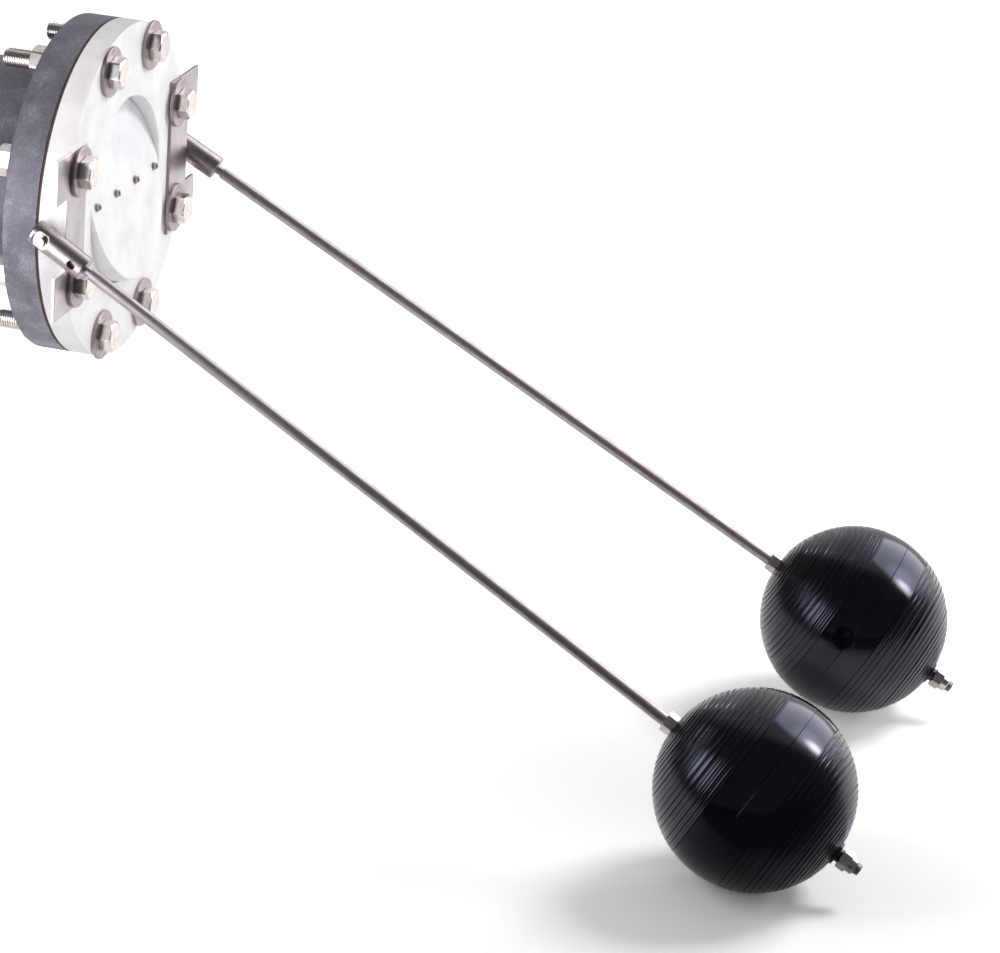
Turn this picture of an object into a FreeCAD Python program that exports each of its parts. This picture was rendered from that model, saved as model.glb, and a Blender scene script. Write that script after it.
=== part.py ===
import FreeCAD, Part
import math
import os

# Float-operated butterfly valve on an 8 inch pipe flange. Sizes in millimetres, angles in degrees.
# The origin is the centre of the seat that the pipe's end meets in the flange's socket.
# +X runs out of the pipe towards the floats, +Z is up, and the valve shaft lies along Y.
# Left is the +Y side and right is the -Y side, as seen from the pipe.

LEFT = 1
RIGHT = -1
SIDES = {"left": LEFT, "right": RIGHT}
QUARTER_TURN = 90

# Pipe flange with a socket hub
flange_diameter = 342.9
flange_thickness = 36.0
flange_length = 133.35
flange_edge_round = 3.0
socket_hub_diameter = 233.0
socket_hub_round = 6.0
socket_diameter = 219.9
socket_depth = 101.6
socket_mouth_chamfer = 2.0
water_bore = 192.0

# Bolting of the flange
bolt_circle = 298.45
bolt_count = 8
bolt_hole_diameter = 22.2
bolt_diameter = 19.05
bolt_length = 114.3
bolt_head_width = 28.575
bolt_head_height = 12.3
nut_height = 16.3
washer_diameter = 50.8
washer_hole = 20.6
washer_thickness = 3.8
washer_edge_chamfer = 0.4
# Turn of each bolt head, in order round the circle from the upper left bolt
bolt_turns = [45.0, 30.0, 40.0, 40.0, 55.0, 30.0, 30.0, 35.0]

# Gasket and valve body
gasket_thickness = 3.2
gasket_inset = 1.0
gasket_bore_margin = 3.0
body_thickness = 25.4
body_edge_chamfer = 0.8

# Shaft and butterfly disc
shaft_diameter = 15.875
shaft_end_chamfer = 0.8
disc_thickness = 25.4
disc_edge_chamfer = 1.0
disc_screw_count = 4
disc_screw_margin = 14.75
disc_screw_diameter = 4.17
disc_screw_length = 17.5
disc_screw_head = 6.4
disc_screw_head_height = 3.0
disc_screw_socket = 3.57
disc_screw_socket_depth = 1.6
disc_washer_diameter = 8.6
disc_washer_hole = 4.6
disc_washer_thickness = 1.0

# Stop plates
plate_thickness = 3.175
plate_inner_margin = 18.0
plate_end_margin = 25.4
plate_notch_height = 73.0
plate_ear_reach = 10.2
plate_edge_chamfer = 0.3

# Arms
arm_drop = 29.16
arm_splay = 2.9
arm_hub_diameter = 25.4
arm_hub_length = 63.5
arm_hub_back = 12.7
arm_hub_chamfer = 1.2
rod_diameter = 12.7
rod_socket_depth = 25.4
rod_end_chamfer = 1.2
rod_relief_diameter = 9.6
rod_relief_length = 6.5
pin_hole_diameter = 9.2
pin_hole_inset = 12.7
hub_bolt_diameter = 6.35
hub_bolt_length = 25.4
hub_bolt_head_width = 10.0
hub_bolt_head_height = 4.1
hub_bolt_seat_diameter = 19.0
hub_bolt_seat_depth = 3.0
hub_bolt_seat_wall = 3.8
hub_washer_diameter = 12.4
hub_washer_hole = 6.9
hub_washer_thickness = 1.6
set_screw_diameter = 6.35
set_screw_length = 4.8
set_screw_socket = 3.175
set_screw_socket_depth = 2.4
shaft_flat_depth = 0.9

# Floats on their rods
float_diameter = 197.6
float_distance = 874.2
float_seam_width = 1.4
float_seam_depth = 0.8
float_land_diameter = 26.0
float_boss_diameter = 24.0
float_boss_end = 100.0
float_neck_diameter = 14.2
float_neck_end = 103.5
rod_tip_distance = 126.3
rod_nut_width = 19.05
rod_nut_turn = 30.0
float_nut_height = 11.1
lock_nut_hex_height = 10.4
lock_nut_height = 17.6
lock_nut_collar_diameter = 17.0
lock_nut_collar_round = 1.6
insert_diameter = 15.4
insert_thickness = 3.6
insert_cover = 1.0

# Clearances
shaft_running_clearance = 0.06
seat_clearance = 0.03
thread_clearance = 0.05
screw_hole_clearance = 0.2
disc_swing_clearance = 0.6
hub_side_gap = 1.6
notch_side_gap = 3.0
stop_clearance = 0.3
end_gap = 0.2

# Places along the pipe
socket_mouth_x = -socket_depth
flange_face_x = flange_length - socket_depth
flange_back_x = flange_face_x - flange_thickness
body_back_x = flange_face_x + gasket_thickness
body_face_x = body_back_x + body_thickness
shaft_x = (body_back_x + body_face_x) / 2
plate_face_x = body_face_x + plate_thickness

# Places across the pipe
body_radius = flange_diameter / 2
arm_offset = body_radius + hub_side_gap + arm_hub_diameter / 2
hub_outer_y = arm_offset + arm_hub_diameter / 2
hub_bolt_seat_y = hub_outer_y - hub_bolt_seat_depth
shaft_half_length = hub_bolt_seat_y - hub_bolt_seat_wall - end_gap
arm_hub_front = arm_hub_length - arm_hub_back

# The disc's corners pass the bore as it turns
disc_radius = math.sqrt((water_bore / 2 - disc_swing_clearance) ** 2 - (disc_thickness / 2) ** 2)

# The outer disc screws stand in from the disc's rim, and the others are spaced evenly between them
disc_screw_pitch = 2 * (disc_radius - disc_screw_margin) / (disc_screw_count - 1)

# Each arm stops where its hub meets the plate's ear, as far below level as above it.
ear_x = plate_face_x - shaft_x
ear_z = plate_notch_height / 2
stop_distance = arm_hub_diameter / 2 + stop_clearance
arm_stop = math.degrees(math.acos(stop_distance / math.hypot(ear_x, ear_z)) - math.atan2(ear_x, ear_z))

# The disc lies edge on to the water, fully open, when the arms are at the high stop.
# This is how far its top leans back where the arms hang at rest.
disc_tilt = QUARTER_TURN - arm_stop - arm_drop

ORIGIN = FreeCAD.Vector(0, 0, 0)
X_AXIS = FreeCAD.Vector(1, 0, 0)
Y_AXIS = FreeCAD.Vector(0, 1, 0)
Z_AXIS = FreeCAD.Vector(0, 0, 1)
FULL_TURN = 360
HEX_SIDES = 6
HEX_CHAMFER = math.radians(30)
HEX_FACE_SHARE = 0.95
CUT_PAST = 5.0


def along_x(diameter, start, end):
    """A cylinder on the X axis."""
    return Part.makeCylinder(diameter / 2, end - start, FreeCAD.Vector(start, 0, 0), X_AXIS)


def along_y(diameter, side, start, end, x=0.0):
    """A cylinder parallel to the Y axis, with its ends at these distances to one side."""
    return Part.makeCylinder(diameter / 2, end - start, FreeCAD.Vector(x, side * start, 0), Y_AXIS * side)


def turned(profile):
    """A solid of revolution about the X axis, from its half section as (x, radius) points."""
    corners = [FreeCAD.Vector(x, 0, radius) for x, radius in profile]
    outline = Part.makePolygon(corners + corners[:1])
    return Part.Face(outline).revolve(ORIGIN, X_AXIS, FULL_TURN)


def round_bar(diameter, start, end, chamfer):
    """A cylinder on the X axis with both ends chamfered."""
    radius = diameter / 2
    return turned([
        (start, 0),
        (start, radius - chamfer),
        (start + chamfer, radius),
        (end - chamfer, radius),
        (end, radius - chamfer),
        (end, 0),
    ])


def ring(outer_diameter, inner_diameter, start, end):
    """A flat ring on the X axis."""
    return along_x(outer_diameter, start, end).cut(along_x(inner_diameter, start, end))


def flat_washer(outer_diameter, inner_diameter, start, end, chamfer):
    """A flat ring on the X axis with its outer edges broken."""
    outer = round_bar(outer_diameter, start, end, chamfer)
    return outer.cut(along_x(inner_diameter, start, end))


def hex_prism(width, start, end, turn=0.0):
    """A plain hexagonal prism on the X axis, one flat facing +Y before the turn."""
    corner_radius = width / math.sqrt(3)
    corners = []
    for index in range(HEX_SIDES):
        angle = math.radians(turn + FULL_TURN / HEX_SIDES * (index + 0.5))
        corner = FreeCAD.Vector(start, corner_radius * math.cos(angle), corner_radius * math.sin(angle))
        corners.append(corner)
    outline = Part.makePolygon(corners + corners[:1])
    return Part.Face(outline).extrude(X_AXIS * (end - start))


def hex_blank(width, start, end, turn=0.0):
    """A hexagonal prism on the X axis with the corners of both ends turned off."""
    corner_radius = width / math.sqrt(3)
    face_radius = width / 2 * HEX_FACE_SHARE
    slope = (corner_radius - face_radius) * math.tan(HEX_CHAMFER)
    envelope = turned([
        (start, 0),
        (start, face_radius),
        (start + slope, corner_radius),
        (end - slope, corner_radius),
        (end, face_radius),
        (end, 0),
    ])
    return hex_prism(width, start, end, turn).common(envelope)


def hex_bolt(diameter, length, width, head_height, turn=0.0):
    """A hex bolt on the X axis, its head's seat at x = 0 and its shank towards -X."""
    shank = round_bar(diameter, -length, head_height / 2, diameter / 10)
    return shank.fuse(hex_blank(width, 0, head_height, turn)).removeSplitter()


def bored(shape, diameter, start, end):
    """A shape with a round hole cut along the X axis."""
    return shape.cut(along_x(diameter, start, end))


def edges_at(shape, x, radius):
    """The circular edges round the X axis at this place and radius."""
    found = []
    for edge in shape.Edges:
        if not isinstance(edge.Curve, Part.Circle):
            continue
        if abs(edge.Curve.Radius - radius) < 0.01 and abs(edge.Curve.Center.x - x) < 0.01:
            found.append(edge)
    return found


def bolt_places():
    """The places of the flange bolts across the pipe, from the upper left one."""
    step = FULL_TURN / bolt_count
    places = []
    for index in range(bolt_count):
        angle = math.radians(step * (index + 0.5))
        places.append((bolt_circle / 2 * math.cos(angle), bolt_circle / 2 * math.sin(angle)))
    return places


def at_bolts(make):
    """One compound of what make(index, y, z) gives at each flange bolt."""
    return Part.makeCompound([make(index, y, z) for index, (y, z) in enumerate(bolt_places())])


def drilled(shape, start, end):
    """A shape with the flange's bolt holes."""
    hole = along_x(bolt_hole_diameter, start, end)
    holes = at_bolts(lambda index, y, z: hole.translated(FreeCAD.Vector(0, y, z)))
    return shape.cut(holes)


def bolt_seat_x(y):
    """Where the front washer sits: on a stop plate for the side bolts, else on the body."""
    on_plate = abs(y) > plate_inner_y()
    return plate_face_x if on_plate else body_face_x


def side_bolt():
    """The place across the pipe of the bolt that holds the left plate's upper end."""
    return bolt_places()[0]


def plate_inner_y():
    """The edge of a stop plate that is nearest to the pipe's axis."""
    return side_bolt()[0] - plate_inner_margin


def tilted(shape):
    """A piece of the disc, built facing +X, at its place in the open valve."""
    turned_piece = shape.rotated(ORIGIN, Y_AXIS, -disc_tilt)
    return turned_piece.translated(X_AXIS * shaft_x)


def lowered(shape):
    """A piece of the arms, built level, at its place on the shaft."""
    turned_piece = shape.rotated(ORIGIN, Y_AXIS, arm_drop)
    return turned_piece.translated(X_AXIS * shaft_x)


def on_arm(shape, side):
    """A piece built along +X from the shaft's axis, set on one splayed arm."""
    splayed = shape.rotated(ORIGIN, Z_AXIS, side * arm_splay)
    return splayed.translated(Y_AXIS * (side * arm_offset))


def on_both_arms(shape):
    """One compound of a piece, built along +X from the shaft's axis, on both arms."""
    return lowered(Part.makeCompound([on_arm(shape, side) for side in SIDES.values()]))


def on_both_shaft_ends(shape, y):
    """One compound of a piece, built along +X, facing outwards on the shaft's axis on both sides."""
    ends = []
    for side in SIDES.values():
        end = shape.rotated(ORIGIN, Z_AXIS, side * QUARTER_TURN)
        ends.append(end.translated(Y_AXIS * (side * y)))
    return lowered(Part.makeCompound(ends))


def pipe_flange():
    """Moulded flange with a socket hub for the pipe's end behind it."""
    hub_radius = socket_hub_diameter / 2
    socket_radius = socket_diameter / 2
    blank = turned([
        (socket_mouth_x, socket_radius + socket_mouth_chamfer),
        (socket_mouth_x, hub_radius),
        (flange_back_x, hub_radius),
        (flange_back_x, body_radius),
        (flange_face_x, body_radius),
        (flange_face_x, water_bore / 2),
        (0, water_bore / 2),
        (0, socket_radius),
        (socket_mouth_x + socket_mouth_chamfer, socket_radius),
    ])
    blank = blank.makeFillet(socket_hub_round, edges_at(blank, flange_back_x, hub_radius))
    blank = blank.makeFillet(flange_edge_round, edges_at(blank, flange_back_x, body_radius))
    return drilled(blank, flange_back_x, flange_face_x)


def flange_gasket():
    """Full-face gasket between the flange and the valve body."""
    outer = flange_diameter - 2 * gasket_inset
    inner = water_bore + 2 * gasket_bore_margin
    return drilled(ring(outer, inner, flange_face_x, body_back_x), flange_face_x, body_back_x)


def valve_body():
    """Thick plate with the valve bore, the bolt holes and two cross bores for the shaft."""
    plate = turned([
        (body_back_x, water_bore / 2),
        (body_back_x, body_radius),
        (body_face_x - body_edge_chamfer, body_radius),
        (body_face_x, body_radius - body_edge_chamfer),
        (body_face_x, water_bore / 2 + body_edge_chamfer),
        (body_face_x - body_edge_chamfer, water_bore / 2),
    ])
    plate = drilled(plate, body_back_x, body_face_x)
    cross_bore = shaft_diameter + 2 * shaft_running_clearance
    return plate.cut(along_y(cross_bore, LEFT, -body_radius, body_radius, shaft_x))


def stop_plate(side):
    """C-shaped plate whose two ears stop the arm's hub above and below."""
    inner_y = plate_inner_y()
    notch_y = arm_offset - arm_hub_diameter / 2 - notch_side_gap
    outer_y = arm_offset + plate_ear_reach
    end_z = side_bolt()[1] + plate_end_margin
    outline = [
        (inner_y, -end_z),
        (outer_y, -end_z),
        (outer_y, -ear_z),
        (notch_y, -ear_z),
        (notch_y, ear_z),
        (outer_y, ear_z),
        (outer_y, end_z),
        (inner_y, end_z),
    ]
    corners = [FreeCAD.Vector(body_face_x, side * y, z) for y, z in outline]
    sheet = Part.Face(Part.makePolygon(corners + corners[:1])).extrude(X_AXIS * plate_thickness)
    front_edges = [edge for edge in sheet.Edges if edge.BoundBox.XMin > plate_face_x - plate_thickness / 2]
    sheet = sheet.makeChamfer(plate_edge_chamfer, front_edges)
    return drilled(sheet, body_face_x, plate_face_x)


def flange_bolts():
    """The hex bolts that clamp plate, body, gasket and flange together."""
    def place(index, y, z):
        bolt = hex_bolt(bolt_diameter, bolt_length, bolt_head_width, bolt_head_height, bolt_turns[index])
        return bolt.translated(FreeCAD.Vector(bolt_seat_x(y) + washer_thickness, y, z))
    return at_bolts(place)


def front_washers():
    """The flat washers under the bolt heads."""
    def place(index, y, z):
        washer = flat_washer(washer_diameter, washer_hole, 0, washer_thickness, washer_edge_chamfer)
        return washer.translated(FreeCAD.Vector(bolt_seat_x(y), y, z))
    return at_bolts(place)


def flange_nuts():
    """The hex nuts behind the flange."""
    def place(index, y, z):
        nut = hex_blank(bolt_head_width, -nut_height, 0, bolt_turns[index])
        nut = bored(nut, bolt_diameter + 2 * thread_clearance, -nut_height, 0)
        return nut.translated(FreeCAD.Vector(flange_back_x, y, z))
    return at_bolts(place)


def disc_screw_places():
    """The disc screws' places along the shaft."""
    middle = (disc_screw_count - 1) / 2
    return [(index - middle) * disc_screw_pitch for index in range(disc_screw_count)]


def at_disc_screws(shape):
    """One compound of a disc fastener, built along +X, at each disc screw."""
    return tilted(Part.makeCompound([shape.translated(Y_AXIS * y) for y in disc_screw_places()]))


def disc_screw_seat_x():
    """The underside of a disc screw's head, from the shaft's axis."""
    return disc_thickness / 2 + disc_washer_thickness


def disc_screw_holes(diameter):
    """The disc screws' holes, from the disc's face to past their tips."""
    tip = disc_screw_seat_x() - disc_screw_length - end_gap
    return at_disc_screws(along_x(diameter, tip, disc_thickness / 2))


def valve_disc():
    """Butterfly disc, bored across for the shaft and screwed to it."""
    disc = round_bar(2 * disc_radius, -disc_thickness / 2, disc_thickness / 2, disc_edge_chamfer)
    disc = disc.cut(along_y(shaft_diameter + 2 * seat_clearance, LEFT, -disc_radius, disc_radius))
    return tilted(disc).cut(disc_screw_holes(disc_screw_diameter + 2 * screw_hole_clearance))


def disc_screws():
    """The socket head screws that hold the disc on the shaft."""
    seat = disc_screw_seat_x()
    top = seat + disc_screw_head_height
    head = along_x(disc_screw_head, seat, top)
    shank = along_x(disc_screw_diameter, seat - disc_screw_length, seat + disc_screw_head_height / 4)
    socket = hex_prism(disc_screw_socket, top - disc_screw_socket_depth, top)
    return at_disc_screws(head.fuse(shank).cut(socket))


def disc_washers():
    """The small flat washers under the disc screws."""
    washer = ring(disc_washer_diameter, disc_washer_hole, disc_thickness / 2, disc_screw_seat_x())
    return at_disc_screws(washer)


def shaft_flat_x():
    """The flat that a set screw bears on, from the shaft's axis."""
    return -(shaft_diameter / 2 - shaft_flat_depth)


def valve_shaft():
    """Shaft with tapped ends, a flat in each hub and tapped holes for the disc screws."""
    shaft = round_bar(shaft_diameter, -shaft_half_length, shaft_half_length, shaft_end_chamfer)
    shaft = shaft.rotated(ORIGIN, Z_AXIS, QUARTER_TURN)
    tapped = hub_bolt_diameter + 2 * thread_clearance
    bolt_tip = hub_bolt_seat_y + hub_washer_thickness - hub_bolt_length - end_gap
    for side in SIDES.values():
        shaft = shaft.cut(along_y(tapped, side, bolt_tip, shaft_half_length))
        flat = along_x(arm_hub_diameter, shaft_flat_x() - CUT_PAST, shaft_flat_x())
        shaft = shaft.cut(on_arm(flat, side))
    return lowered(shaft).cut(disc_screw_holes(disc_screw_diameter + 2 * thread_clearance))


def arm_hub(side):
    """Round hub on the shaft's end that carries a float's rod."""
    hub = round_bar(arm_hub_diameter, -arm_hub_back, arm_hub_front, arm_hub_chamfer)
    hub = bored(hub, rod_diameter + 2 * thread_clearance, arm_hub_front - rod_socket_depth, arm_hub_front)
    hub = bored(hub, set_screw_diameter + 2 * thread_clearance, -arm_hub_back, 0)
    hub = on_arm(hub, side)
    past_hub = hub_outer_y + CUT_PAST
    shaft_bore = along_y(shaft_diameter + 2 * seat_clearance, side, body_radius, shaft_half_length + end_gap)
    bolt_hole = along_y(hub_washer_hole, side, arm_offset, past_hub)
    bolt_seat = along_y(hub_bolt_seat_diameter, side, hub_bolt_seat_y, past_hub)
    pin_hole_x = (arm_hub_front - pin_hole_inset) * math.cos(math.radians(arm_splay))
    pin_hole = along_y(pin_hole_diameter, side, arm_offset, past_hub, pin_hole_x)
    return lowered(hub.cut(Part.makeCompound([shaft_bore, bolt_hole, bolt_seat])).cut(pin_hole))


def hub_bolts():
    """The hex bolts that hold the hubs on the shaft's ends."""
    bolt = hex_bolt(hub_bolt_diameter, hub_bolt_length, hub_bolt_head_width, hub_bolt_head_height)
    seat_y = hub_bolt_seat_y + hub_washer_thickness
    return on_both_shaft_ends(bolt, seat_y)


def hub_washers():
    """The washers under the hub bolts."""
    washer = ring(hub_washer_diameter, hub_washer_hole, 0, hub_washer_thickness)
    return on_both_shaft_ends(washer, hub_bolt_seat_y)


def hub_set_screws():
    """The socket set screws in the hubs' back ends, on the shaft's flats."""
    back = shaft_flat_x() - set_screw_length
    screw = along_x(set_screw_diameter, back, shaft_flat_x())
    screw = screw.cut(hex_prism(set_screw_socket, back, back + set_screw_socket_depth))
    return on_both_arms(screw)


def float_rod(side):
    """Rod from the hub's socket through the float to its tip."""
    start = arm_hub_front - rod_socket_depth + end_gap
    rod = round_bar(rod_diameter, start, float_distance + rod_tip_distance, rod_end_chamfer)
    relief = ring(rod_diameter, rod_relief_diameter, arm_hub_front, arm_hub_front + rod_relief_length)
    return lowered(on_arm(rod.cut(relief), side))


def ball_edge(start_x, end_x):
    """An arc of the float's outline between two places along the rod from its centre."""
    radius = float_diameter / 2
    points = []
    for x in (start_x, (start_x + end_x) / 2, end_x):
        points.append(FreeCAD.Vector(x, 0, math.sqrt(radius ** 2 - x ** 2)))
    return Part.Arc(*points).toShape()


def float_land_x():
    """How far the flat that the upper nut meets lies from the float's centre."""
    return math.sqrt((float_diameter / 2) ** 2 - (float_land_diameter / 2) ** 2)


def ball_float(side):
    """Sealed ball float with a seam round its middle, a flat above and a boss and neck below."""
    bore_radius = rod_diameter / 2 + thread_clearance
    boss_radius = float_boss_diameter / 2
    neck_radius = float_neck_diameter / 2
    boss_x = math.sqrt((float_diameter / 2) ** 2 - boss_radius ** 2)
    upper = ball_edge(-float_land_x(), -float_seam_width / 2)
    lower = ball_edge(float_seam_width / 2, boss_x)
    seam = FreeCAD.Vector(0, 0, float_diameter / 2 - float_seam_depth)
    groove = Part.makePolygon([upper.lastVertex().Point, seam, lower.firstVertex().Point])
    steps = [
        (float_boss_end, boss_radius),
        (float_boss_end, neck_radius),
        (float_neck_end, neck_radius),
        (float_neck_end, bore_radius),
        (-float_land_x(), bore_radius),
    ]
    corners = [FreeCAD.Vector(x, 0, radius) for x, radius in steps]
    ends = Part.makePolygon([lower.lastVertex().Point] + corners + [upper.firstVertex().Point])
    outline = Part.Wire([upper] + groove.Edges + [lower] + ends.Edges)
    ball = Part.Face(outline).revolve(ORIGIN, X_AXIS, FULL_TURN)
    return lowered(on_arm(ball.translated(X_AXIS * float_distance), side))


def float_nuts():
    """The hex nuts above the floats."""
    end = float_distance - float_land_x()
    nut = hex_blank(rod_nut_width, end - float_nut_height, end, rod_nut_turn)
    return on_both_arms(bored(nut, rod_diameter + 2 * thread_clearance, end - float_nut_height, end))


def lock_nut_start():
    """Where the lock nut meets the float's neck, from the shaft's axis."""
    return float_distance + float_neck_end


def insert_start():
    """Where the lock nut's insert begins, from the shaft's axis."""
    return lock_nut_start() + lock_nut_height - insert_cover - insert_thickness


def lock_nuts():
    """The lock nuts below the floats, each with a collar that holds an insert."""
    start = lock_nut_start()
    end = start + lock_nut_height
    collar = along_x(lock_nut_collar_diameter, start + lock_nut_hex_height / 2, end)
    collar = collar.makeFillet(lock_nut_collar_round, edges_at(collar, end, lock_nut_collar_diameter / 2))
    nut = hex_blank(rod_nut_width, start, start + lock_nut_hex_height, rod_nut_turn).fuse(collar)
    nut = bored(nut, rod_diameter + 2 * thread_clearance, start, end)
    return on_both_arms(bored(nut, insert_diameter, insert_start(), insert_start() + insert_thickness))


def lock_nut_inserts():
    """The nylon rings in the lock nuts' collars."""
    outer = insert_diameter - 2 * seat_clearance
    inner = rod_diameter + 2 * thread_clearance
    return on_both_arms(ring(outer, inner, insert_start(), insert_start() + insert_thickness))


def pieces():
    """Every piece of the valve by its name."""
    made = {
        "pipe_flange": pipe_flange(),
        "flange_gasket": flange_gasket(),
        "valve_body": valve_body(),
        "flange_bolts": flange_bolts(),
        "front_washers": front_washers(),
        "flange_nuts": flange_nuts(),
        "valve_shaft": valve_shaft(),
        "valve_disc": valve_disc(),
        "disc_screws": disc_screws(),
        "disc_washers": disc_washers(),
        "hub_bolts": hub_bolts(),
        "hub_washers": hub_washers(),
        "hub_set_screws": hub_set_screws(),
        "float_nuts": float_nuts(),
        "lock_nuts": lock_nuts(),
        "lock_nut_inserts": lock_nut_inserts(),
    }
    for name, side in SIDES.items():
        made["stop_plate_" + name] = stop_plate(side)
        made["arm_hub_" + name] = arm_hub(side)
        made["float_rod_" + name] = float_rod(side)
        made["float_" + name] = ball_float(side)
    return made


os.makedirs("parts", exist_ok=True)
for node, shape in pieces().items():
    shape.exportStep("parts/" + node + ".step")
print("hinge at x", shaft_x, "turns from", arm_drop - arm_stop, "to", arm_drop + arm_stop)
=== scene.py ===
import logging
import math
import random
from abc import ABC, abstractmethod
from collections.abc import Callable, Iterator, Sequence
from contextlib import contextmanager
from dataclasses import dataclass
from enum import Enum, auto

import bmesh
import bpy
from mathutils import Matrix, Vector


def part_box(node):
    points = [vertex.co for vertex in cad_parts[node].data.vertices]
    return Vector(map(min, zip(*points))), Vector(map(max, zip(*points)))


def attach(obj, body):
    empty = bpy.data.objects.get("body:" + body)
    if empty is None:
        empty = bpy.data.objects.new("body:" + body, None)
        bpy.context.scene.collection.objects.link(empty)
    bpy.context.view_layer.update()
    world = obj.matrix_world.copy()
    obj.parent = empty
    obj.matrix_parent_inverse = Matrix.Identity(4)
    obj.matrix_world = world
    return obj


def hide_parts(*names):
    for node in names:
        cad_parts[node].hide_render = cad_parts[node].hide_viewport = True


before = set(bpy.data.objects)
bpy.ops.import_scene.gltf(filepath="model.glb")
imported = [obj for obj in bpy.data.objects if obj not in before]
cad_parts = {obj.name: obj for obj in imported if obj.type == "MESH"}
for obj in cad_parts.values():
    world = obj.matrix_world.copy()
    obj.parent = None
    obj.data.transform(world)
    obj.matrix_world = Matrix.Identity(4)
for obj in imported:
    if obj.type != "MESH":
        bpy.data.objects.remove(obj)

# Pieces are modelled in millimetres along the X axis and brought to metres when they are put in place.
MM = 0.001
FULL_TURN = 2 * math.pi

# Where the valve's shaft crosses the pipe's axis
SHAFT_X = 47.65

# A screw thread's depth as a share of its pitch, and its outline in shares of the pitch and of that depth
THREAD_DEPTH = 0.6134
THREAD_FORM = ((0, 0), (1 / 4, 0), (9 / 16, 1), (11 / 16, 1), (1, 0))

# The distance between rings in Blender's ring pattern at a scale of 1
RING_SPACING = 0.314

Piece = bpy.types.Object
Tree = bpy.types.NodeTree
Socket = bpy.types.NodeSocket
Inputs = dict[str | int, object]
Pair = tuple[float, float]
Triple = tuple[float, float, float]
Colour = tuple[float, float, float, float]
Outline = Sequence[Pair]

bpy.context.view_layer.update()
log = logging.getLogger("float_valve")


class Body(Enum):
    """The two bodies that pieces ride on."""

    SEAT = "valve_seat"
    ARMS = "float_arms"


class Side(Enum):
    """The two sides of the valve, by the sign of their place along the shaft."""

    LEFT = 1
    RIGHT = -1

    @property
    def label(self) -> str:
        """The side's name as the nodes spell it."""
        return self.name.lower()


class Grain(Enum):
    """How a steel surface was made, which sets the way its fine marks run."""

    ROLLED = "rolled"
    DRAWN = "drawn"
    TURNED = "turned"
    EVEN = "even"

    def stretch(self, width: float, length: float) -> Triple:
        """Give the size of one mark along X, Y and Z.

        Args:
            width: The mark's width.
            length: The mark's length.

        Returns:
            The three sizes, in the units given.
        """
        sizes = {
            Grain.ROLLED: (width, width, length),
            Grain.DRAWN: (length, width, width),
            Grain.TURNED: (width, length, length),
            Grain.EVEN: (width, width, width),
        }
        return sizes[self]


class LampRole(Enum):
    """What a lamp does: it lights the dull surfaces, or shows in the shiny ones."""

    LIGHTS = auto()
    MIRRORED = auto()


def linear(code: str) -> Colour:
    """Turn an sRGB hex colour to linear light, by the sRGB curve.

    Args:
        code: The colour, as #rrggbb.

    Returns:
        Linear red, green and blue, and an alpha of 1.
    """
    shares = [int(code[place:place + 2], 16) / 255 for place in (1, 3, 5)]
    red, green, blue = (s / 12.92 if s <= 0.04045 else ((s + 0.055) / 1.055) ** 2.4 for s in shares)
    return red, green, blue, 1.0


def add_node(tree: Tree, kind: str, inputs: Inputs | None = None, **settings: object) -> bpy.types.Node:
    """Add a node with its settings, values and links.

    Args:
        tree: The node tree to add it to.
        kind: The node's type, as Blender names it after ShaderNode.
        inputs: Each input's name or number, with a plain value or an output socket to link.
        settings: The node's own settings.

    Returns:
        The new node.
    """
    node = tree.nodes.new("ShaderNode" + kind)
    for name, value in settings.items():
        setattr(node, name, value)
    for name, value in (inputs or {}).items():
        if isinstance(value, Socket):
            tree.links.new(value, node.inputs[name])
        else:
            node.inputs[name].default_value = value
    return node


def span(which: str, ends: Pair) -> Inputs:
    """Give a range's two ends under a node's input names, where which is From or To."""
    return {f"{which} Min": ends[0], f"{which} Max": ends[1]}


# Modelling steps shared by the pieces

@contextmanager
def editing(piece: Piece) -> Iterator[None]:
    """Hold one piece alone in edit mode.

    Args:
        piece: The piece to open.

    Yields:
        Nothing: the piece stays open until the steps inside are done.
    """
    select_only(piece)
    bpy.ops.object.mode_set(mode="EDIT")
    bpy.ops.mesh.select_mode(type="VERT")
    yield
    bpy.ops.object.mode_set(mode="OBJECT")


def select_only(*pieces: Piece) -> None:
    """Select some pieces and nothing else.

    Args:
        pieces: The pieces, of which the first becomes active.
    """
    bpy.ops.object.select_all(action="DESELECT")
    for piece in pieces:
        piece.select_set(True)
    bpy.context.view_layer.objects.active = pieces[0]


def select_edges(piece: Piece, wanted: Callable[[Vector, Vector], bool]) -> None:
    """Select the edges of a piece in edit mode by where their two ends are.

    Args:
        piece: The piece that is open in edit mode.
        wanted: Says whether the edge between two points is selected.
    """
    bpy.ops.mesh.select_mode(type="EDGE")
    bpy.ops.mesh.select_all(action="DESELECT")
    mesh = bmesh.from_edit_mesh(piece.data)
    for edge in mesh.edges:
        edge.select_set(wanted(edge.verts[0].co, edge.verts[1].co))
    bmesh.update_edit_mesh(piece.data)


def named(piece: Piece, name: str) -> Piece:
    """Name a piece and its mesh, and give the piece back."""
    piece.name = piece.data.name = name
    return piece


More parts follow.
